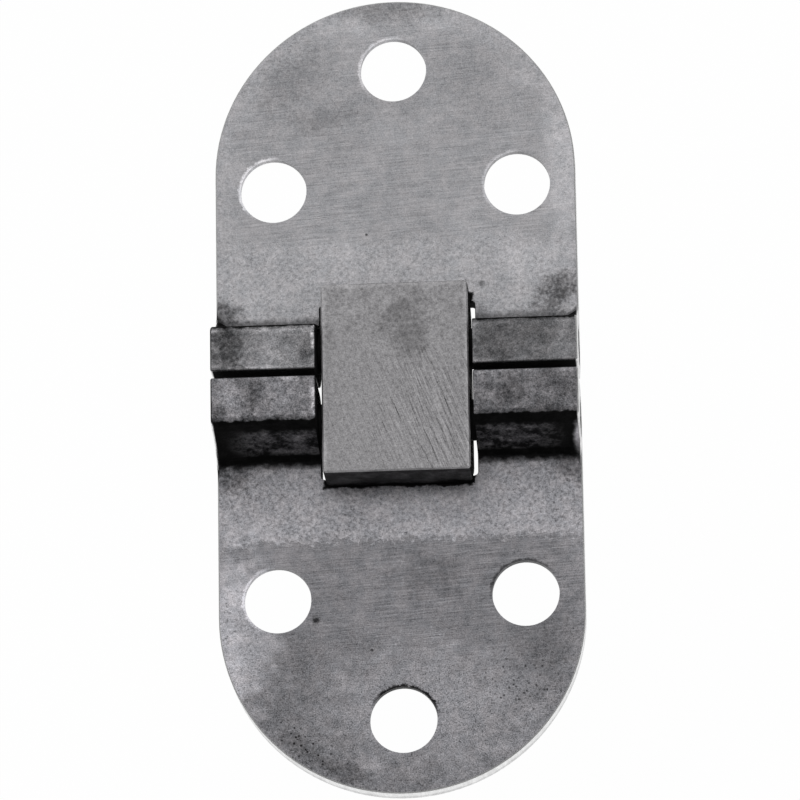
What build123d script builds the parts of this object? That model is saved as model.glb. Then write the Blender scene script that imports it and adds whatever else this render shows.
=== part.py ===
from build123d import *
from math import cos, hypot, radians, sin, tan
import os

# A concealed flap hinge with two pins, open flat and lying on its front face.
# Each leaf is a blank as tall as its knuckles, with a flared relief sunk to the plate's thickness.
# The relief's wall is the knuckles' foot, ramp and shoulder, and its round lower corners leave an ear at each side.
# The link's ends lie in seats in the backs of both leaves, which stops the hinge when it is open flat.
# Sizes are millimetres. X runs along the pins, +Y towards the upper leaf, +Z to the knuckle side.

# Leaf plates
leaf_width = 30.0
overall_length = 68.0
leaf_thickness = 2.0
rim_chamfer = 0.1

# Pins
pin_spacing = 6.1
pin_diameter = 3.4
pin_end_recess = 0.15
pin_end_chamfer = 0.4
folded_gap = 0.2

# Knuckles
knuckle_gap = 0.6
knuckle_top_wall = 3.6
knuckle_ramp_wall = 0.67
ramp_angle = 75.0
shoulder_radius = 0.7
foot_radius = 0.45
gap_edge_radius = 0.12
ear_radius = 2.6
ear_run_out = 0.5
ear_flare = 4.0
relief_mouth_radius = 0.5

# Link block
link_width = 12.1
link_overhang = 4.97
link_top_wall = 1.5
link_edge_chamfer = 0.12
link_corner_radius = 0.3
link_bore_clearance = 0.05

# Slot round the link, with a seat for each end of the link
seat_length = 0.55
seat_depth = 0.15
seat_clearance = 0.1
seat_floor_clearance = 0.06
slot_side_clearance = 0.4
slot_corner_radius = 0.3
slot_chamfer = 0.05
link_swing_clearance = 0.12

# Screw holes, countersunk on the front
screw_hole_diameter = 5.5
countersink_angle = 90.0
screw_land = 0.65
side_hole_from_side = 4.85
side_hole_from_tip = 16.4
end_hole_from_tip = 6.1

# Places that follow from the sizes above
leaf_tip = overall_length / 2
half_width = leaf_width / 2
straight_side = leaf_tip - half_width
pin_offset = pin_spacing / 2
pin_radius = pin_diameter / 2
pin_height = pin_offset - folded_gap / 2
gap_face = knuckle_gap / 2
nose_radius = pin_offset - gap_face
knuckle_top = pin_height + pin_radius + knuckle_top_wall
ramp_lean = radians(ramp_angle)
ramp_distance = pin_radius + knuckle_ramp_wall
ramp_run_out = knuckle_top / tan(ramp_lean)
foot_corner = pin_offset + (ramp_distance + (pin_height - leaf_thickness) * cos(ramp_lean)) / sin(ramp_lean)
link_length = pin_spacing + 2 * link_overhang
link_bore_radius = pin_radius + link_bore_clearance
link_thickness = pin_height + link_bore_radius + link_top_wall
slot_width = link_width + 2 * slot_side_clearance
link_end = pin_offset + link_overhang
slot_end = link_end - seat_length
seat_end = link_end + seat_clearance
seat_width = link_width + 2 * seat_clearance
seat_height = leaf_thickness - seat_depth
stop_height = seat_height + seat_floor_clearance
swing_radius = hypot(slot_end - pin_offset, pin_height - seat_height) - link_swing_clearance
hole_radius = screw_hole_diameter / 2
countersink_depth = leaf_thickness - screw_land
countersink_radius = hole_radius + countersink_depth * tan(radians(countersink_angle / 2))


def cross_cylinder(radius, length):
    """A cylinder along the pin axis of the upper leaf."""
    return Pos(0, pin_offset, pin_height) * Rot(Y=90) * Cylinder(radius, length)


def leaf_blank():
    """Blank of the upper leaf, larger than its outline: round nose, gap face and the knuckles' flat top."""
    reach = 2 * overall_length
    rim = FilletPolyline(
        (reach, 0),
        (gap_face, 0),
        (gap_face, knuckle_top),
        (reach, knuckle_top),
        radius=[nose_radius, gap_edge_radius],
    )
    end = Line(rim @ 1, rim @ 0)
    return extrude(Plane.YZ * make_face(rim + end), leaf_width, both=True)


def relief():
    """Flared pocket down to the plate: its near wall is the ramp, and its lower corners turn into the ears."""
    floor_width = leaf_width + 2 * ear_run_out
    mouth_width = leaf_width + 2 * ear_flare
    mouth_length = overall_length + 2 * ramp_run_out
    floor = RectangleRounded(floor_width, overall_length, ear_radius, align=(Align.CENTER, Align.MIN))
    mouth = RectangleRounded(mouth_width, mouth_length, relief_mouth_radius, align=(Align.CENTER, Align.MIN))
    floor = Pos(0, foot_corner, leaf_thickness) * floor
    mouth = Pos(0, foot_corner - ramp_run_out, leaf_thickness + knuckle_top) * mouth
    pocket = loft([floor, mouth], ruled=True)
    return fillet(pocket.faces().sort_by(Axis.Z)[0].edges(), foot_radius)


def relieved_blank():
    """The blank with the relief cut and the knuckles' shoulder rounded."""
    blank = leaf_blank()
    pocket = relief()
    body = blank - pocket
    return fillet(new_edges(blank, pocket, combined=body), shoulder_radius)


def leaf_plan():
    """Plan of the upper leaf: straight sides and a half-round end."""
    sides = Rectangle(leaf_width, straight_side, align=(Align.CENTER, Align.MIN))
    return sides + Pos(0, straight_side) * Circle(half_width)


def screw_hole(x, y):
    """A through hole with its countersink on the front face."""
    shank = Cylinder(hole_radius, leaf_thickness, align=(Align.CENTER, Align.CENTER, Align.MIN))
    sink = Cone(countersink_radius, hole_radius, countersink_depth, align=(Align.CENTER, Align.CENTER, Align.MIN))
    return Pos(x, y) * (shank + sink)


def make_leaf():
    """The upper leaf with its two knuckles, ears, slot, seat, pin bore and screw holes."""
    body = relieved_blank()
    outline = extrude(leaf_plan(), 2 * knuckle_top, both=True)
    leaf = body & outline
    leaf = chamfer(new_edges(body, outline, combined=leaf), rim_chamfer)
    slot = extrude(RectangleRounded(slot_width, 2 * slot_end, slot_corner_radius), 2 * knuckle_top, both=True)
    seat = RectangleRounded(seat_width, 2 * seat_end, slot_corner_radius)
    slot = slot + extrude(Pos(0, 0, seat_height) * seat, knuckle_top)
    slotted = leaf - slot
    leaf = chamfer(new_edges(leaf, slot, combined=slotted), slot_chamfer)
    leaf = leaf - cross_cylinder(pin_radius, leaf_width)
    side_hole_x = half_width - side_hole_from_side
    for x in (-side_hole_x, side_hole_x):
        leaf = leaf - screw_hole(x, leaf_tip - side_hole_from_tip)
    return leaf - screw_hole(0, leaf_tip - end_hole_from_tip)


def make_pin():
    """The upper pin, pressed through both knuckles with its ends just below their sides."""
    pin = cross_cylinder(pin_radius, leaf_width - 2 * pin_end_recess)
    return chamfer(pin.edges().filter_by(GeomType.CIRCLE), pin_end_chamfer)


def link_section():
    """Side view of the link: a block with stepped ends, whose lower part is rounded about the pins."""
    section = Rectangle(link_length, link_thickness, align=(Align.CENTER, Align.MIN))
    for side in (-1, 1):
        under = Pos(side * (pin_offset + link_overhang / 2), stop_height / 2) * Rectangle(link_overhang, stop_height)
        section = section - (under - Pos(side * pin_offset, pin_height) * Circle(swing_radius))
    return Plane.YZ * section


def make_link():
    """The link block that joins the two pins."""
    link = extrude(link_section(), link_width / 2, both=True)
    link = fillet(link.edges().filter_by(Axis.Z), link_corner_radius)
    link = chamfer(link.faces().sort_by(Axis.Z)[-1].edges(), link_edge_chamfer)
    bore = cross_cylinder(link_bore_radius, link_width)
    return link - bore - Rot(Z=180) * bore


upper_leaf = make_leaf()
upper_pin = make_pin()
nodes = {
    "upper_leaf": upper_leaf,
    "lower_leaf": Rot(Z=180) * upper_leaf,
    "link": make_link(),
    "upper_pin": upper_pin,
    "lower_pin": Rot(Z=180) * upper_pin,
}

os.makedirs("parts", exist_ok=True)
for name, solid in nodes.items():
    export_step(solid, f"parts/{name}.step")
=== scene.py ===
from math import cos, pi, radians, sin

import bpy
from mathutils import Matrix, Vector

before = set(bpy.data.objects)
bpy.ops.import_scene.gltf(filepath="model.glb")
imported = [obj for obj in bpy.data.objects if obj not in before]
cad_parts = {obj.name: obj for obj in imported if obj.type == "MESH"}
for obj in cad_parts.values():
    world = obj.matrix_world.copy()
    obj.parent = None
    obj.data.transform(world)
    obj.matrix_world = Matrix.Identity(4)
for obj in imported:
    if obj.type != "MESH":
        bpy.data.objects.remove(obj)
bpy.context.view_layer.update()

# Lengths are metres and angles degrees, unless a name says otherwise.
MM = 0.001

# Camera, from the photograph's framing
PHOTO_WIDTH_PX = 800
PHOTO_PX_PER_MM = 12.13
HINGE_CENTRE_PX = (398.4, 390.1)
CAMERA_DISTANCE = 0.51
CAMERA_TILT = 16.3
CAMERA_PAN = 3.2
CAMERA_ROLL = -0.93
CAMERA_CLIP = (0.01, 10.0)
SENSOR_WIDTH_MM = 36.0

# Places on the hinge that the finishes follow, in millimetres
PLATE_BACK_MM = 2.0
KNUCKLE_TOP_MM = 8.25
PIN_PLACE_MM = 3.05
RAMP_HEAD_MM = 3.5
RAMP_FOOT_MM = 6.0
LINK_TOP_MM = 6.2
LINK_HALF_WIDTH_MM = 6.05
LINK_END_MM = 8.02
SLOT_HALF_WIDTH_MM = 6.45
SEAT_HALF_WIDTH_MM = 6.15
SEAT_END_MM = 8.12
HALF_WIDTH_MM = 15.0
ROUND_END_MM = 19.0
HOLE_RADIUS_MM = 2.75

# A leaf that hangs straight down reaches 34 mm below the front faces.
FLOOR_LEVEL = -36 * MM
FLOOR_HALF_WIDTH = 1.5
FLOOR_WHITE_SHARE = 0.985
ROOM_STRENGTH = 0.2

# Depth of the fine relief on each kind of piece
PLATE_RELIEF = 0.04 * MM
PIN_RELIEF = 0.03 * MM

# What dulling does to the steel: the roughness it adds where painted shade and the rounded rim edges dull it,
# and the specular level of its non-metal part
DULLED_ROUGHNESS = 0.4
NON_METAL_SPECULAR = 0.15

# Least share of the tone that a dark mark leaves
DARKEST_MARK = 0.12

# The camera looks at this point of the plates' backs.
AIM = Vector((0, 0, PLATE_BACK_MM * MM))

# Patterns seen from the knuckle side are this deep, in millimetres, so that height plays no part in them.
PATTERN_DEPTH_MM = 1000.0


def place_camera():
    """Camera above the back of the hinge, tipped towards the lower leaf, as in the photograph."""
    tilt = radians(CAMERA_TILT)
    pan = radians(CAMERA_PAN)
    away = Vector((sin(pan), -sin(tilt) * cos(pan), cos(tilt) * cos(pan)))
    right = Vector((0, 1, 0)).cross(away).normalized()
    up = away.cross(right)
    roll = radians(CAMERA_ROLL)
    frame_right = right * cos(roll) + up * sin(roll)
    frame_up = up * cos(roll) - right * sin(roll)
    px = MM / PHOTO_PX_PER_MM
    middle = PHOTO_WIDTH_PX / 2
    aim = AIM + frame_right * (middle - HINGE_CENTRE_PX[0]) * px
    aim -= frame_up * (middle - HINGE_CENTRE_PX[1]) * px
    data = bpy.data.cameras.new("camera")
    data.sensor_width = SENSOR_WIDTH_MM
    data.lens = SENSOR_WIDTH_MM * PHOTO_PX_PER_MM * CAMERA_DISTANCE / MM / PHOTO_WIDTH_PX
    data.clip_start, data.clip_end = CAMERA_CLIP
    camera = bpy.data.objects.new("camera", data)
    axes = Matrix((frame_right, frame_up, away)).transposed().to_4x4()
    camera.matrix_world = Matrix.Translation(aim + away * CAMERA_DISTANCE) @ axes
    bpy.context.scene.collection.objects.link(camera)
    bpy.context.scene.camera = camera


class Shader:
    """Node tree of one material, with short calls for the nodes that the finishes use."""

    def __init__(self, name):
        self.material = bpy.data.materials.new(name)
        self.material.use_nodes = True
        self.tree = self.material.node_tree
        self.tree.nodes.clear()

    def add(self, kind, inputs=None, **settings):
        made = self.tree.nodes.new(kind)
        for key, value in settings.items():
            setattr(made, key, value)
        for key, value in (inputs or {}).items():
            if isinstance(value, bpy.types.NodeSocket):
                self.tree.links.new(value, made.inputs[key])
            else:
                made.inputs[key].default_value = value
        return made

    def math(self, operation, first, second=0.0):
        return self.add("ShaderNodeMath", {0: first, 1: second}, operation=operation).outputs[0]

    def vector_math(self, operation, inputs, output="Vector"):
        return self.add("ShaderNodeVectorMath", inputs, operation=operation).outputs[output]

    def plus(self, first, *rest):
        for value in rest:
            first = self.math("ADD", first, value)
        return first

    def times(self, first, *rest):
        for value in rest:
            first = self.math("MULTIPLY", first, value)
        return first

    def most(self, first, *rest):
        """The greatest of some values."""
        for value in rest:
            first = self.math("MAXIMUM", first, value)
        return first

    def magnitude(self, value):
        return self.math("ABSOLUTE", value)

    def less(self, share):
        """1 minus a share."""
        return self.math("SUBTRACT", 1.0, share)

    def gain(self, amount, share, change):
        """An amount that gains a change of itself where the share is 1."""
        return self.times(amount, self.plus(1.0, self.times(share, change)))

    def step(self, value, low, high):
        """0 at low and 1 at high, with a smooth rise between; low may be the greater."""
        inputs = {"Value": value, "From Min": low, "From Max": high}
        return self.add("ShaderNodeMapRange", inputs, interpolation_type="SMOOTHSTEP").outputs["Result"]

    def between(self, value, low, high):
        """Scale a share from 0 to 1 to the range from low to high."""
        inputs = {"Value": value, "To Min": low, "To Max": high}
        return self.add("ShaderNodeMapRange", inputs).outputs["Result"]

    def centred(self, value, reach):
        """Scale a share from 0 to 1 to the range from -reach to reach."""
        return self.between(value, -reach, reach)

    def noise(self, vector, scale, detail=2.0, roughness=0.5):
        inputs = {"Vector": vector, "Scale": scale, "Detail": detail, "Roughness": roughness}
        return self.add("ShaderNodeTexNoise", inputs).outputs["Fac"]

    def swing(self, vector, scale, reach, detail=2.0, roughness=0.5):
        """Noise about zero, between -reach and reach."""
        return self.centred(self.noise(vector, scale, detail, roughness), reach)

    def dots(self, vector, scale, radius):
        """Scattered round spots: 1 in the middle of each."""
        inputs = {"Vector": vector, "Scale": scale}
        far = self.add("ShaderNodeTexVoronoi", inputs).outputs["Distance"]
        return self.step(far, radius * scale, 0.3 * radius * scale)

    def millimetres(self):
        """Place on the piece in its own frame, in millimetres."""
        place = self.add("ShaderNodeTexCoord").outputs["Object"]
        return self.vector_math("SCALE", {0: place, "Scale": 1 / MM})

    def parts(self, vector):
        return self.add("ShaderNodeSeparateXYZ", {0: vector}).outputs

    def own_normal(self):
        """Face normal in the piece's own frame."""
        normal = self.add("ShaderNodeNewGeometry").outputs["True Normal"]
        turned = self.add("ShaderNodeVectorTransform", {0: normal}, vector_type="NORMAL",
                          convert_from="WORLD", convert_to="OBJECT")
        return self.parts(turned.outputs[0])

    def stretched(self, vector, turn, size, place=(0, 0, 0)):
        """Coordinates that grow by 1 over size, after a turn about Z at place."""
        inputs = {"Vector": vector, "Location": place, "Rotation": (0, 0, radians(turn)), "Scale": size}
        return self.add("ShaderNodeMapping", inputs, vector_type="TEXTURE").outputs["Vector"]

    def flat_place(self, mm, place, size, turn):
        """Place relative to a point of the back, in units of size, and the distance from that point."""
        local = self.stretched(mm, turn, (size[0], size[1], PATTERN_DEPTH_MM), (place[0], place[1], 0))
        return local, self.vector_math("LENGTH", {0: local}, "Value")

    def patch(self, mm, place, size, turn=0.0, ragged=0.9):
        """Soft oval patch with a ragged edge, seen from the knuckle side."""
        _, far = self.flat_place(mm, place, size, turn)
        far = self.plus(far, self.swing(mm, 0.9, ragged, 4.0, 0.62))
        return self.step(far, 1.3, 0.3)

    def crescent(self, mm, place, radius, turn):
        """Narrow ragged arc along one side of a hole's edge."""
        local, far = self.flat_place(mm, place, (1.0, 1.0), turn)
        far = self.plus(far, self.swing(mm, 2.2, 0.35, 4.0, 0.7))
        one_side = self.step(self.parts(local)[0], 0.3, 2.0)
        return self.times(self.step(far, radius + 0.28, radius + 0.1), one_side)

    def mix(self, share, first, second):
        inputs = {0: share, 6: first, 7: second}
        return self.add("ShaderNodeMix", inputs, data_type="RGBA").outputs[2]

    def shade(self, colour, amount):
        """Multiply a colour by a number that varies over the surface."""
        return self.vector_math("SCALE", {0: colour, "Scale": amount})

    def open_share(self, distance):
        """1 in the open and less in creases of the same piece."""
        inputs = {"Distance": distance}
        return self.add("ShaderNodeAmbientOcclusion", inputs, samples=8, only_local=True).outputs["AO"]

    def worn_and_highlighted_edge(self, radius):
        """1 at sharp edges, where a rounded normal leaves the face's own."""
        rounded = self.add("ShaderNodeBevel", {"Radius": radius}, samples=6).outputs["Normal"]
        normal = self.add("ShaderNodeNewGeometry").outputs["True Normal"]
        likeness = self.vector_math("DOT_PRODUCT", {0: rounded, 1: normal}, "Value")
        return self.step(likeness, 0.97, 0.80)

    def metal(self, colour, roughness, height, depth, dulled):
        """Metal with a relief depth deep for a height from 0 to 1, dull and less metallic by the share
        dulled, which carries painted shade.
        """
        bump = self.add("ShaderNodeBump", {"Strength": 1.0, "Distance": depth, "Height": height})
        surface = self.add("ShaderNodeBsdfPrincipled", {
            "Base Color": colour,
            "Metallic": self.less(dulled),
            "Roughness": self.plus(roughness, self.times(dulled, DULLED_ROUGHNESS)),
            "Specular IOR Level": NON_METAL_SPECULAR,
            "Normal": bump.outputs["Normal"],
        })
        output = self.add("ShaderNodeOutputMaterial")
        self.tree.links.new(surface.outputs["BSDF"], output.inputs["Surface"])
        return self.material


class LeafSteel(Shader):
    """Raw steel leaf: grainy band along the knuckles, brushed plate, black painted shade in the creases and
    bright cut edges.
    """

    def __init__(self, name, look):
        super().__init__(name)
        self.look = look
        mm = self.millimetres()
        self.mm = mm
        self.x, y, self.z = self.parts(mm)
        self.across = self.magnitude(self.x)
        self.along = self.magnitude(y)
        self.levelness = self.magnitude(self.own_normal()[2])
        beyond = self.most(self.math("SUBTRACT", self.along, ROUND_END_MM), 0.0)
        self.out = self.math("SQRT", self.plus(self.times(self.x, self.x), self.times(beyond, beyond)))

        self.pebble = self.noise(mm, scale=3.6, detail=3.0, roughness=0.6)
        self.fine = self.noise(mm, scale=9.0, detail=2.0, roughness=0.6)
        brushed = self.stretched(mm, 3.5, (4.5, 0.13, 1.0))
        self.streak = self.noise(brushed, scale=1.0, detail=4.0, roughness=0.65)
        scratched = self.stretched(mm, 4.5, (2.4, 0.07, 1.0))
        self.hair = self.noise(scratched, scale=1.0, detail=2.0, roughness=0.5)
        self.cloud = self.noise(mm, scale=0.22, detail=4.0, roughness=0.6)
        self.blotch = self.noise(mm, scale=0.8, detail=5.0, roughness=0.7)
        self.mottle = self.noise(mm, scale=1.9, detail=5.0, roughness=0.75)
        self.patchy = self.noise(mm, scale=0.35, detail=3.0, roughness=0.55)

        lifted = self.plus(self.z, self.swing(mm, 1.8, 0.16, 3.0))
        self.top = self.step(lifted, KNUCKLE_TOP_MM - 0.2, KNUCKLE_TOP_MM - 0.08)
        self.near_knuckles = self.step(self.along, RAMP_FOOT_MM + 2.0, RAMP_FOOT_MM + 0.5)
        self.near_gap = self.step(self.along, PIN_PLACE_MM + 0.15, PIN_PLACE_MM - 0.45)
        pitted = self.step(self.blotch, 0.48, 0.58)
        self.pits = self.times(self.dots(mm, 0.3, 0.16), pitted)
        self.grainy, self.tip, self.coarse, self.belt = self.grain_shares()
        self.at_rim, self.cut, self.rounded = self.rim_shares()
        self.on_ramp, self.painted_shade = self.painted_shade_shares()
        self.glints = []
        # Painted highlights: each glint brightens the colour and clears the painted shade under it.
        for place, size in look["glints"]:
            glint = self.patch(mm, place, size, 0.0, 0.6)
            glint = self.times(glint, self.step(self.z, PLATE_BACK_MM + 0.2, PLATE_BACK_MM + 0.6))
            self.painted_shade = self.times(self.painted_shade, self.less(glint))
            self.glints.append(glint)

    def grain_shares(self):
        """Shares of the grainy skin, of grain at the tip, of both together, and of the belt's brushing."""
        mm = self.mm
        look = self.look
        half_blur = look["band_blur"] / 2
        edge = self.plus(self.along, self.swing(mm, 0.5, look["band_blur"], 3.0))
        edge = self.plus(edge, self.swing(mm, 2.4, 1.6, 4.0, 0.7))
        band = self.step(edge, look["band_end"] + half_blur, look["band_end"] - half_blur)
        rim = self.plus(self.out, self.swing(mm, 0.5, 2.0, 3.0), self.swing(mm, 2.4, 1.5, 4.0, 0.7))
        rim = self.step(rim, HALF_WIDTH_MM - 2.4, HALF_WIDTH_MM - 0.6)
        grainy = self.most(band, self.times(rim, look["rim_share"]))
        tip = self.plus(self.along, self.swing(mm, 0.4, 6.0, 4.0))
        tip = self.times(self.step(tip, ROUND_END_MM, ROUND_END_MM + 7.0), look["tip_grain"])
        coarse = self.most(grainy, tip)
        for place, size in look["grain_patches"]:
            coarse = self.most(coarse, self.patch(mm, place, size))
        pressure = self.between(self.noise(mm, 0.18, 2.0), 0.1, 1.9)
        return grainy, tip, coarse, self.times(self.less(coarse), pressure)

    def rim_shares(self):
        """Shares of the whole rim, of its cut wall and of its rounded edges."""
        at_rim = self.step(self.out, HALF_WIDTH_MM - 0.2, HALF_WIDTH_MM - 0.1)
        at_rim = self.times(at_rim, self.step(self.levelness, 0.99, 0.9))
        cut = self.times(at_rim, self.step(self.levelness, 0.55, 0.3))
        left_side = self.step(self.x, 1.0 - HALF_WIDTH_MM, 0.5 - HALF_WIDTH_MM)
        dull_end = self.times(left_side, self.near_knuckles)
        return at_rim, cut, self.times(self.math("SUBTRACT", at_rim, cut), self.less(dull_end))

    def painted_shade_shares(self):
        """Shares of the ramps, and of the black painted shade on them, in creases, in the slot, round the
        link and in the gap.
        """
        mm = self.mm
        wander = self.swing(mm, 1.1, 0.7, 4.0, 0.6)
        height = self.plus(self.z, wander)
        ramp_start = self.look["ramp_from"]
        on_ramp = self.times(self.less(self.top), self.step(self.along, RAMP_FOOT_MM + 0.6, RAMP_FOOT_MM))
        on_ramp = self.times(on_ramp, self.step(self.along, RAMP_HEAD_MM - 0.3, RAMP_HEAD_MM))
        on_ramp = self.times(on_ramp, self.step(self.z, ramp_start, ramp_start + 0.08))
        # Painted shade: black on the ramps, except a band at mid height away from the outer ends.
        clear = self.times(self.step(height, 6.9, 6.0), self.step(height, 2.3, 3.9))
        sideways = self.plus(self.across, self.swing(mm, 0.8, 2.5, 3.0))
        clear = self.times(clear, self.step(sideways, HALF_WIDTH_MM - 0.6, HALF_WIDTH_MM - 3.8))
        ramp_black_shade = self.times(on_ramp, self.less(clear))

        # Painted shade in the crease at the foot of the ramps.
        outward = self.plus(self.along, self.times(wander, 0.7))
        foot_shade = self.step(outward, RAMP_FOOT_MM + 0.65, RAMP_FOOT_MM - 0.05)
        foot_shade = self.times(foot_shade, self.step(self.z, PLATE_BACK_MM + 1.2, PLATE_BACK_MM + 0.7))
        # Painted shade where the piece's own creases close in, from the AO node.
        open_share = self.plus(self.open_share(1.1 * MM), self.swing(mm, 1.2, 0.1, 3.0))
        crease_shade = self.times(self.step(open_share, 0.8, 0.5), self.less(on_ramp))
        crease_shade = self.times(self.most(foot_shade, crease_shade), self.look["crease_shade_share"])

        # Painted shade in the slot, beside the link, round the link's seat and in the gap between the
        # knuckles.
        slot_side = self.step(self.across, SLOT_HALF_WIDTH_MM + 0.11, SLOT_HALF_WIDTH_MM + 0.03)
        beside_link = self.times(slot_side, self.step(self.along, RAMP_FOOT_MM + 0.4, RAMP_FOOT_MM + 0.1))
        beside_seat = self.plus(self.across, -SEAT_HALF_WIDTH_MM)
        off_link = self.most(beside_seat, self.plus(self.along, -SEAT_END_MM))
        round_link = self.step(self.plus(off_link, self.swing(mm, 1.3, 0.5, 3.0, 0.5)), 0.2, 0.02)
        round_link = self.times(round_link, self.step(self.z, PLATE_BACK_MM + 0.3, PLATE_BACK_MM + 0.1))
        in_slot = self.times(slot_side, self.step(self.along, SEAT_END_MM + 0.18, SEAT_END_MM + 0.08))
        in_slot = self.times(in_slot, self.step(self.z, PLATE_BACK_MM - 0.01, PLATE_BACK_MM - 0.06))
        in_gap = self.times(self.near_gap, self.step(height, 4.2, 6.0))
        walls = self.times(self.most(in_slot, round_link, beside_link, in_gap), self.less(self.top))
        painted_shade = self.most(ramp_black_shade, crease_shade, walls)
        return on_ramp, self.times(painted_shade, self.less(self.at_rim))

    def plate_tone(self):
        """Share of the leaf's tone, with the plate's texture, marks, patches of painted light and shade, hole
        rims, specks and pits.
        """
        mm = self.mm
        look = self.look
        texture = self.times(self.centred(self.pebble, 0.75), self.between(self.coarse, 0.4, 1.0))
        texture = self.plus(texture, self.times(self.centred(self.streak, 0.55), self.belt))
        texture = self.plus(texture, self.times(self.centred(self.hair, 0.3), self.belt))
        texture = self.plus(texture, self.times(self.centred(self.fine, 0.6), self.plus(1.0, self.tip)))
        mottling = self.times(self.centred(self.mottle, 0.5), self.between(self.coarse, 0.75, 1.25))
        texture = self.plus(texture, mottling, self.centred(self.cloud, 0.25), self.centred(self.blotch, 0.4))
        amount = self.plus(1.0, self.times(self.grainy, look["band_gain"]))
        amount = self.gain(amount, texture, look["contrast"])

        speckled = self.step(self.plus(self.mottle, self.centred(self.pebble, 0.3)), 0.68, 0.36)
        speckled = self.between(speckled, 0.75, 1.1)
        for place, size, turn, change in look["marks_and_painted_light"]:
            share = self.times(self.patch(mm, place, size, turn), speckled, change)
            amount = self.times(amount, self.most(self.plus(1.0, share), DARKEST_MARK))
        for place, turn, change in look["hole_rims"]:
            amount = self.gain(amount, self.crescent(mm, place, HOLE_RADIUS_MM, turn), change)
        spots = self.dots(mm, 2.4, 0.14)
        for place, size, turn, change in look["specks"]:
            amount = self.gain(amount, self.times(self.patch(mm, place, size, turn), spots), change)
        return self.gain(amount, self.pits, -0.6)

    def knuckle_tops(self, amount):
        """Darken the knuckles' tops with painted shade, darker on the right and mottled with dirt, and scuff
        their edges bright.
        """
        # Painted shade on the tops: the right knuckles darker than the left.
        left_top_shade, right_top_shade = self.look["painted_top_shades"]
        tone = self.between(self.step(self.x, -6.0, 6.0), left_top_shade, right_top_shade)
        uneven = self.plus(1.0, self.centred(self.blotch, 0.7), self.centred(self.patchy, 1.1))
        tone = self.times(tone, self.plus(uneven, self.centred(self.fine, 0.5)))
        amount = self.gain(amount, self.top, self.plus(tone, -1.0))
        inner = self.step(self.across, SLOT_HALF_WIDTH_MM + 0.4, SLOT_HALF_WIDTH_MM + 0.15)
        inner_wear = self.between(self.step(self.x, 2.0, -2.0), 0.5, 1.6)
        gap_edge = self.step(self.along, 0.75, 0.5)
        border = self.most(gap_edge, self.step(self.along, RAMP_HEAD_MM - 0.15, RAMP_HEAD_MM + 0.15))
        scuffed = self.times(self.top, self.step(self.noise(self.mm, 1.3, 4.0, 0.7), 0.4, 0.62))
        wear = self.plus(self.times(border, 0.45), self.times(inner, inner_wear))
        return self.gain(amount, scuffed, wear)

    def soil(self, amount):
        """Grease the faces of the gap, paint shade on the ramps, add the painted glints, and blacken what the
        painted shade covers.
        """
        greased = self.times(self.near_gap, self.less(self.top), self.between(self.blotch, 0.2, 0.9))
        amount = self.times(amount, self.between(greased, 1.0, 0.35))
        # Painted shade on the ramps, darker on the right side.
        ramp_shade_tone = self.between(self.step(self.x, -8.0, 8.0), 0.38, 0.27)
        ramp_shade_tone = self.most(self.plus(ramp_shade_tone, self.centred(self.blotch, 1.9)), 0.05)
        amount = self.gain(amount, self.on_ramp, self.plus(ramp_shade_tone, -1.0))
        # Painted glints.
        for glint in self.glints:
            amount = self.plus(amount, self.times(glint, 4.0))
        return self.times(amount, self.between(self.painted_shade, 1.0, 0.02))

    def bare_metal(self):
        """Tone of the cut rim: torn next to the front, sheared above, dull where it is stained."""
        mm = self.mm
        stained = self.times(self.near_knuckles, self.step(self.blotch, 0.45, 0.62))
        sheared = self.noise(self.stretched(mm, 0.0, (1.2, 1.2, 9.0)), 3.0, 3.0, 0.6)
        torn = self.step(self.plus(self.z, self.swing(mm, 0.9, 0.7, 3.0)), 0.9, 0.6)
        tone = self.plus(0.88, self.centred(sheared, 0.3), self.centred(self.fine, 0.15))
        tone = self.plus(tone, self.times(torn, -0.2))
        edge_tone = self.between(self.fine, 0.4, 0.7)
        bare = self.plus(self.times(self.cut, tone), self.times(self.rounded, edge_tone))
        return self.times(bare, self.between(stained, 1.0, 0.72))

    def finish(self):
        """Material of the leaf."""
        look = self.look
        amount = self.soil(self.knuckle_tops(self.plate_tone()))
        # Edges lighter: wear with a painted highlight along them.
        chipped = self.step(self.noise(self.mm, 0.9, 4.0, 0.7), 0.42, 0.66)
        worn_and_lit = self.times(self.worn_and_highlighted_edge(0.12 * MM), chipped)
        inside = self.less(self.at_rim)
        amount = self.plus(amount, self.times(worn_and_lit, inside, self.less(self.painted_shade), 0.5))
        amount = self.times(amount, inside)
        warmth = self.step(self.blotch, 0.35, 0.65)
        tinted = self.mix(warmth, look["tone"] + (1,), look["warm_tone"] + (1,))
        colour = self.vector_math("ADD", {0: self.shade(tinted, amount), 1: self.bare_metal()})

        roughness = self.plus(0.46, self.centred(self.mottle, 0.12), self.times(self.coarse, 0.08))
        roughness = self.plus(roughness, self.times(self.top, -0.04), self.times(self.cut, -0.12))
        roughness = self.plus(roughness, self.times(self.pits, 0.2))
        relief = self.times(self.pebble, self.between(self.coarse, 0.2, 1.0))
        relief = self.plus(relief, self.times(self.fine, 0.2), self.times(self.streak, self.belt, 0.2))
        relief = self.plus(relief, self.times(self.hair, self.belt, 0.06), self.times(self.pits, -0.8))
        relief = self.plus(relief, self.times(self.mottle, 0.25))
        # Dulled: the painted shade, and the rounded rim edges.
        dulled = self.most(self.painted_shade, self.times(self.rounded, 0.85))
        return self.metal(colour, roughness, relief, PLATE_RELIEF, dulled)


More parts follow.
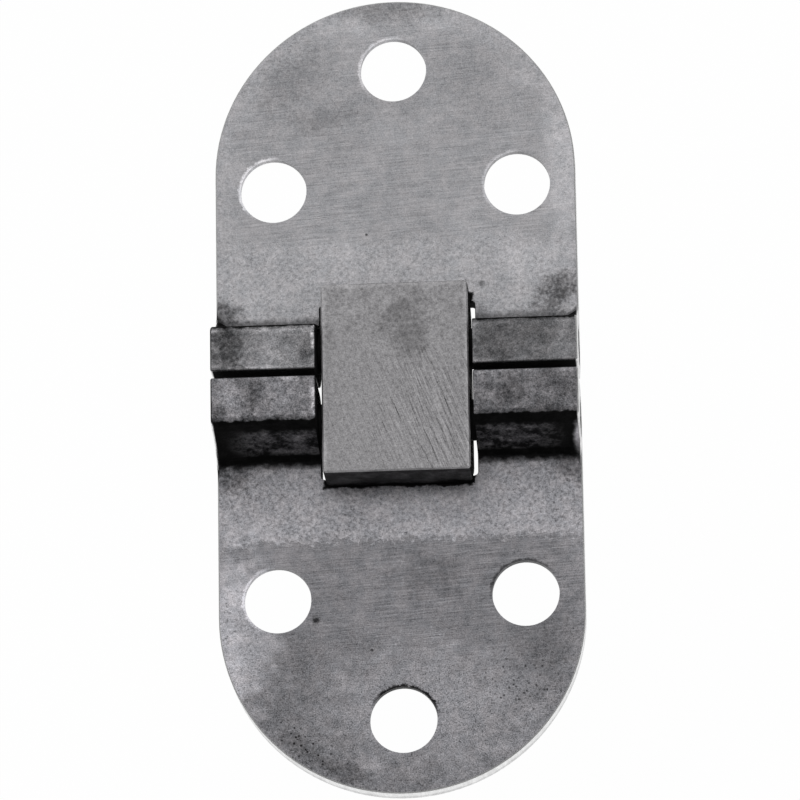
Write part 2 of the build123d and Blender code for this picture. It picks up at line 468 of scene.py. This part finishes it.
def link_steel(name, tone):
    """Ground steel link: steep scratches towards its lower end, mottled skin at its upper end, sides, end
    faces and seat darkened with painted shade.
    """
    shader = Shader(name)
    mm = shader.millimetres()
    x, y, z = shader.parts(mm)
    normal = shader.own_normal()
    sideways = shader.magnitude(normal[0])
    upward = normal[2]
    grain = shader.noise(mm, scale=3.2, detail=3.0, roughness=0.6)
    fine = shader.noise(mm, scale=9.0, detail=2.0, roughness=0.6)
    brushed = shader.stretched(mm, -66.0, (5.0, 0.14, 1.0))
    streak = shader.noise(brushed, scale=1.0, detail=4.0, roughness=0.65)
    scratched = shader.stretched(mm, -72.0, (2.5, 0.08, 1.0))
    hair = shader.noise(scratched, scale=1.0, detail=2.0, roughness=0.5)
    scored = shader.stretched(mm, -68.0, (4.0, 0.22, 1.0))
    score = shader.noise(scored, scale=1.0, detail=3.0, roughness=0.6)
    blotch = shader.noise(mm, scale=0.7, detail=5.0, roughness=0.7)
    mottle = shader.noise(mm, scale=1.9, detail=5.0, roughness=0.75)
    skin = shader.step(shader.plus(y, shader.swing(mm, 0.4, 2.4, 5.0, 0.65)), 1.4, 4.4)
    scoured = shader.patch(mm, (2.8, -3.4), (4.4, 6.0), 20.0)
    ground = shader.times(shader.less(skin), shader.plus(0.4, shader.times(scoured, 0.9)))
    scores = shader.times(shader.step(score, 0.6, 0.72), ground)

    amount = shader.plus(0.7, shader.times(skin, 0.2), shader.times(shader.centred(streak, 0.4), ground))
    amount = shader.plus(amount, shader.times(shader.centred(hair, 0.36), ground))
    amount = shader.plus(amount, shader.times(scores, -0.1))
    amount = shader.plus(amount, shader.times(shader.centred(grain, 0.6), shader.between(skin, 0.6, 1.0)))
    amount = shader.plus(amount, shader.centred(fine, 0.45), shader.centred(mottle, 0.3))
    amount = shader.plus(amount, shader.times(shader.between(blotch, -0.5, 0.4), skin))
    soiled = shader.patch(mm, (1.0, 4.2), (1.9, 3.2), 14.0, 1.6)
    amount = shader.gain(amount, soiled, shader.between(mottle, -0.6, 0.0))

    bevel = shader.times(shader.step(upward, 0.97, 0.9), shader.step(upward, 0.4, 0.6))
    bevel = shader.times(bevel, shader.step(z, LINK_TOP_MM - 0.3, LINK_TOP_MM - 0.2))
    amount = shader.plus(amount, shader.times(bevel, shader.between(blotch, -0.2, 2.4)))
    side_margin = shader.step(shader.magnitude(x), LINK_HALF_WIDTH_MM - 0.5, LINK_HALF_WIDTH_MM - 0.15)
    margin = shader.most(side_margin, shader.step(y, LINK_END_MM - 0.52, LINK_END_MM - 0.17))
    amount = shader.plus(amount, shader.times(margin, shader.between(mottle, -0.25, 0.65)))
    upper = shader.step(z, LINK_TOP_MM - 0.3, LINK_TOP_MM - 0.1)
    # Painted shade: the faces below the link's top are darker.
    end_face_shade = shader.most(shader.plus(0.24, shader.centred(blotch, 1.3)), 0.04)
    amount = shader.times(amount, shader.plus(shader.times(shader.less(upper), end_face_shade), upper))
    # Edges lighter: wear with a painted highlight along them.
    chipped = shader.step(shader.noise(mm, 0.9, 4.0, 0.7), 0.4, 0.62)
    amount = shader.gain(amount, shader.times(shader.worn_and_highlighted_edge(0.1 * MM), chipped), 0.45)

    # Painted shade: black on the sides and round the seat at the plates' level.
    seat = shader.times(shader.step(z, PLATE_BACK_MM + 0.4, PLATE_BACK_MM + 0.1),
                        shader.step(z, PLATE_BACK_MM - 0.3, PLATE_BACK_MM - 0.1))
    seat = shader.times(seat, shader.step(shader.magnitude(y), LINK_END_MM - 0.62, LINK_END_MM - 0.42))
    painted_shade = shader.most(shader.step(sideways, 0.6, 0.9), seat)
    amount = shader.times(amount, shader.between(painted_shade, 1.0, 0.04))
    below_seat = shader.step(z, PLATE_BACK_MM - 0.1, PLATE_BACK_MM - 0.3)
    greased = shader.times(below_seat, shader.step(z, -0.05, 0.05))
    amount = shader.plus(amount, shader.times(greased, shader.between(mottle, 0.1, 0.5)))
    colour = shader.shade(tone, amount)

    roughness = shader.plus(0.44, shader.centred(mottle, 0.12), shader.times(skin, 0.08))
    relief = shader.plus(shader.times(grain, shader.between(skin, 0.25, 0.9)), shader.times(fine, 0.2))
    relief = shader.plus(relief, shader.times(streak, ground, 0.3), shader.times(hair, ground, 0.08))
    relief = shader.plus(relief, shader.times(scores, -0.3))
    return shader.metal(colour, roughness, relief, PLATE_RELIEF, painted_shade)


def pin_steel(name, tone):
    """Drawn steel wire, black with grease and painted shade between the knuckles, with dull, stained ends."""
    shader = Shader(name)
    mm = shader.millimetres()
    across = shader.magnitude(shader.parts(mm)[0])
    drawn = shader.noise(shader.stretched(mm, 0.0, (9.0, 0.25, 0.25)), scale=1.0, detail=4.0, roughness=0.65)
    grain = shader.noise(mm, scale=3.5, detail=4.0, roughness=0.65)
    stain = shader.noise(mm, scale=0.6, detail=4.0, roughness=0.6)
    end = shader.step(across, HALF_WIDTH_MM - 0.7, HALF_WIDTH_MM - 0.3)
    # Painted shade with grease: the pin's middle, in the slit between the knuckles, is nearly black.
    grease_and_shade = shader.step(across, 9.0, 7.0)
    amount = shader.plus(0.9, shader.centred(drawn, 0.35), shader.centred(grain, 0.25))
    amount = shader.gain(amount, end, shader.between(stain, -0.6, 0.1))
    amount = shader.times(amount, shader.between(grease_and_shade, 1.0, 0.04))
    colour = shader.shade(tone, amount)
    roughness = shader.plus(0.34, shader.between(stain, -0.08, 0.14), shader.times(end, 0.12))
    relief = shader.plus(shader.times(drawn, 0.4), shader.times(grain, shader.between(end, 0.3, 1.0)))
    return shader.metal(colour, roughness, relief, PIN_RELIEF, grease_and_shade)


def paper():
    """White backdrop that keeps a faint shadow."""
    shader = Shader("paper")
    path = shader.add("ShaderNodeLightPath").outputs
    seen = shader.plus(path["Is Camera Ray"], path["Is Glossy Ray"], path["Is Transmission Ray"])
    share = shader.math("MINIMUM", shader.times(seen, FLOOR_WHITE_SHARE), FLOOR_WHITE_SHARE)
    lit = shader.add("ShaderNodeBsdfDiffuse", {"Color": (0.9, 0.9, 0.9, 1)}).outputs["BSDF"]
    white = shader.add("ShaderNodeEmission", {"Color": (1, 1, 1, 1), "Strength": 1.0}).outputs["Emission"]
    surface = shader.add("ShaderNodeMixShader", {0: share, 1: lit, 2: white}).outputs["Shader"]
    output = shader.add("ShaderNodeOutputMaterial")
    shader.tree.links.new(surface, output.inputs["Surface"])
    return shader.material


def lay_floor():
    """Pale floor, below the leaves at every pose."""
    half = FLOOR_HALF_WIDTH
    corners = [(-half, -half, 0), (half, -half, 0), (half, half, 0), (-half, half, 0)]
    mesh = bpy.data.meshes.new("floor")
    mesh.from_pydata(corners, [], [(0, 1, 2, 3)])
    floor = bpy.data.objects.new("floor", mesh)
    floor.location.z = FLOOR_LEVEL
    bpy.context.scene.collection.objects.link(floor)
    mesh.materials.append(paper())


def add_softbox(name, place, size, radiance):
    """Square area lamp at place, facing the hinge, of a given radiance."""
    data = bpy.data.lights.new(name, "AREA")
    data.shape = "SQUARE"
    data.size = size
    data.energy = radiance * pi * size * size
    lamp = bpy.data.objects.new(name, data)
    lamp.location = place
    lamp.rotation_euler = Vector(place).to_track_quat("Z", "Y").to_euler()
    bpy.context.scene.collection.objects.link(lamp)


def light_room():
    """Large softbox above and behind the upper leaf, a weak one opposite, and a dim room."""
    add_softbox("overhead", place=(-0.1, 0.34, 0.68), size=0.8, radiance=1.75)
    add_softbox("fill", place=(0.2, -0.62, 0.62), size=0.6, radiance=0.7)
    world = bpy.data.worlds.new("room")
    world.use_nodes = True
    background = world.node_tree.nodes["Background"]
    background.inputs["Color"].default_value = (1, 1, 1, 1)
    background.inputs["Strength"].default_value = ROOM_STRENGTH
    bpy.context.scene.world = world


# Looks of the two leaves, in millimetres and degrees.
# A mark, a patch of painted light, a patch of painted shade, or a group of specks: its place, half size,
# turn, and the share of the tone that it gains or loses.
# A hole's rim: the hole's place, the side of it that is marked, and that share.
# A grain patch or a painted glint: its place and half size.
UPPER_LOOK = {
    "tone": (0.247, 0.2475, 0.258),
    "warm_tone": (0.253, 0.2475, 0.255),
    "band_end": 13.0,
    "band_blur": 1.4,
    "band_gain": 0.42,
    "rim_share": 0.6,
    "tip_grain": 0.25,
    "contrast": 0.85,
    "painted_top_shades": (0.51, 0.33),
    "ramp_from": 2.25,
    "crease_shade_share": 0.42,
    "marks_and_painted_light": [
        ((-0.5, 33.3), (5.5, 1.3), 0.0, -0.35),
        ((-8.5, 27.5), (3.8, 2.6), 40.0, -0.2),
        ((-6.0, 23.8), (3.0, 1.2), 15.0, -0.2),
        ((13.4, 8.0), (2.3, 1.6), 40.0, -0.66),
        ((-14.4, 7.0), (1.9, 1.3), -30.0, -0.66),
        ((7.0, 8.9), (0.35, 0.3), 0.0, -0.5),
        ((-13.6, 2.0), (1.8, 2.4), 0.0, -0.62),
        ((-7.6, 2.2), (2.2, 2.4), 0.0, 0.14),
        ((9.4, 2.2), (2.6, 1.6), 0.0, -0.3),
        ((14.2, 2.2), (1.2, 2.4), 0.0, 0.5),
        ((-14.7, 3.8), (0.5, 0.25), 0.0, 1.2),
        ((13.8, 19.0), (1.8, 7.5), 0.0, 0.28),
        ((0.0, 31.6), (6.5, 2.2), 0.0, 0.15),
        ((11.0, 10.6), (3.4, 2.0), 0.0, 0.18),
    ],
    "grain_patches": [],
    "specks": [],
    "hole_rims": [
        ((-10.15, 17.6), 155.0, 1.1),
        ((10.15, 17.6), 160.0, 0.5),
        ((0.0, 27.9), 150.0, 0.7),
    ],
    "glints": [],
}
LOWER_LOOK = {
    # Darker than the upper leaf's tone: painted shade, for the leaf farther from the overhead softbox.
    "tone": (0.168, 0.1675, 0.178),
    "warm_tone": (0.173, 0.1675, 0.175),
    "band_end": 12.8,
    "band_blur": 0.6,
    "band_gain": 0.95,
    "rim_share": 0.2,
    "tip_grain": 0.8,
    "contrast": 1.2,
    "painted_top_shades": (0.535, 0.39),
    "ramp_from": 2.02,
    "crease_shade_share": 1.0,
    "marks_and_painted_light": [
        ((-13.3, -20.0), (3.4, 6.8), 0.0, 1.45),
        # Painted light: lifts the plate below the link's end, where the link casts its shadow.
        ((0.0, -9.4), (7.0, 1.2), 0.0, 0.25),
        ((2.0, -27.0), (10.0, 5.5), 0.0, 0.65),
        ((11.5, -22.5), (3.2, 4.4), 0.0, -0.16),
        ((2.0, -15.5), (3.4, 2.6), 0.0, -0.26),
        ((-11.6, -24.6), (2.0, 2.4), 0.0, -0.12),
        ((-8.4, -30.0), (3.4, 1.0), -36.0, -0.36),
        ((-4.6, -32.2), (2.0, 0.9), -18.0, -0.4),
        ((-2.4, -31.6), (1.2, 1.4), 0.0, 0.3),
        ((-7.0, -19.35), (0.45, 0.4), 0.0, -1.1),
        # Painted shade by the outer corners, along the crease that curves away from the knuckles.
        ((14.0, -7.2), (2.2, 1.2), -25.0, -0.5),
        ((-14.0, -7.2), (2.0, 1.2), 25.0, -0.5),
        ((-11.7, -2.2), (0.7, 2.2), -16.0, -0.45),
        ((-14.4, -3.2), (0.8, 0.9), 0.0, -0.5),
        ((9.6, -2.2), (1.6, 1.8), 0.0, -0.35),
        ((13.6, -2.4), (1.4, 1.6), 0.0, 0.2),
    ],
    "grain_patches": [((-13.3, -20.0), (3.6, 7.0))],
    "specks": [
        ((-8.2, -29.8), (4.6, 1.7), -36.0, -0.9),
        ((10.0, -24.8), (4.0, 3.4), 0.0, -0.75),
        ((0.5, -21.0), (5.5, 1.4), 0.0, 0.4),
    ],
    "hole_rims": [
        ((0.0, -27.9), 80.0, -0.95),
        ((10.15, -17.6), 112.0, -0.7),
        ((-10.15, -17.6), 165.0, 0.6),
    ],
    "glints": [((14.9, -5.2), (0.5, 0.8))],
}
LINK_TONE = (0.29, 0.285, 0.292)
PIN_TONE = (0.42, 0.42, 0.43)

finishes = {
    "upper_leaf": LeafSteel("upper_leaf_steel", UPPER_LOOK).finish(),
    "lower_leaf": LeafSteel("lower_leaf_steel", LOWER_LOOK).finish(),
    "link": link_steel("link_steel", LINK_TONE),
    "upper_pin": pin_steel("upper_pin_steel", PIN_TONE),
    "lower_pin": pin_steel("lower_pin_steel", PIN_TONE),
}

bpy.context.scene.view_settings.view_transform = "Standard"
place_camera()
lay_floor()
light_room()
for node, finish in finishes.items():
    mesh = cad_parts[node].data
    mesh.materials.clear()
    mesh.materials.append(finish)
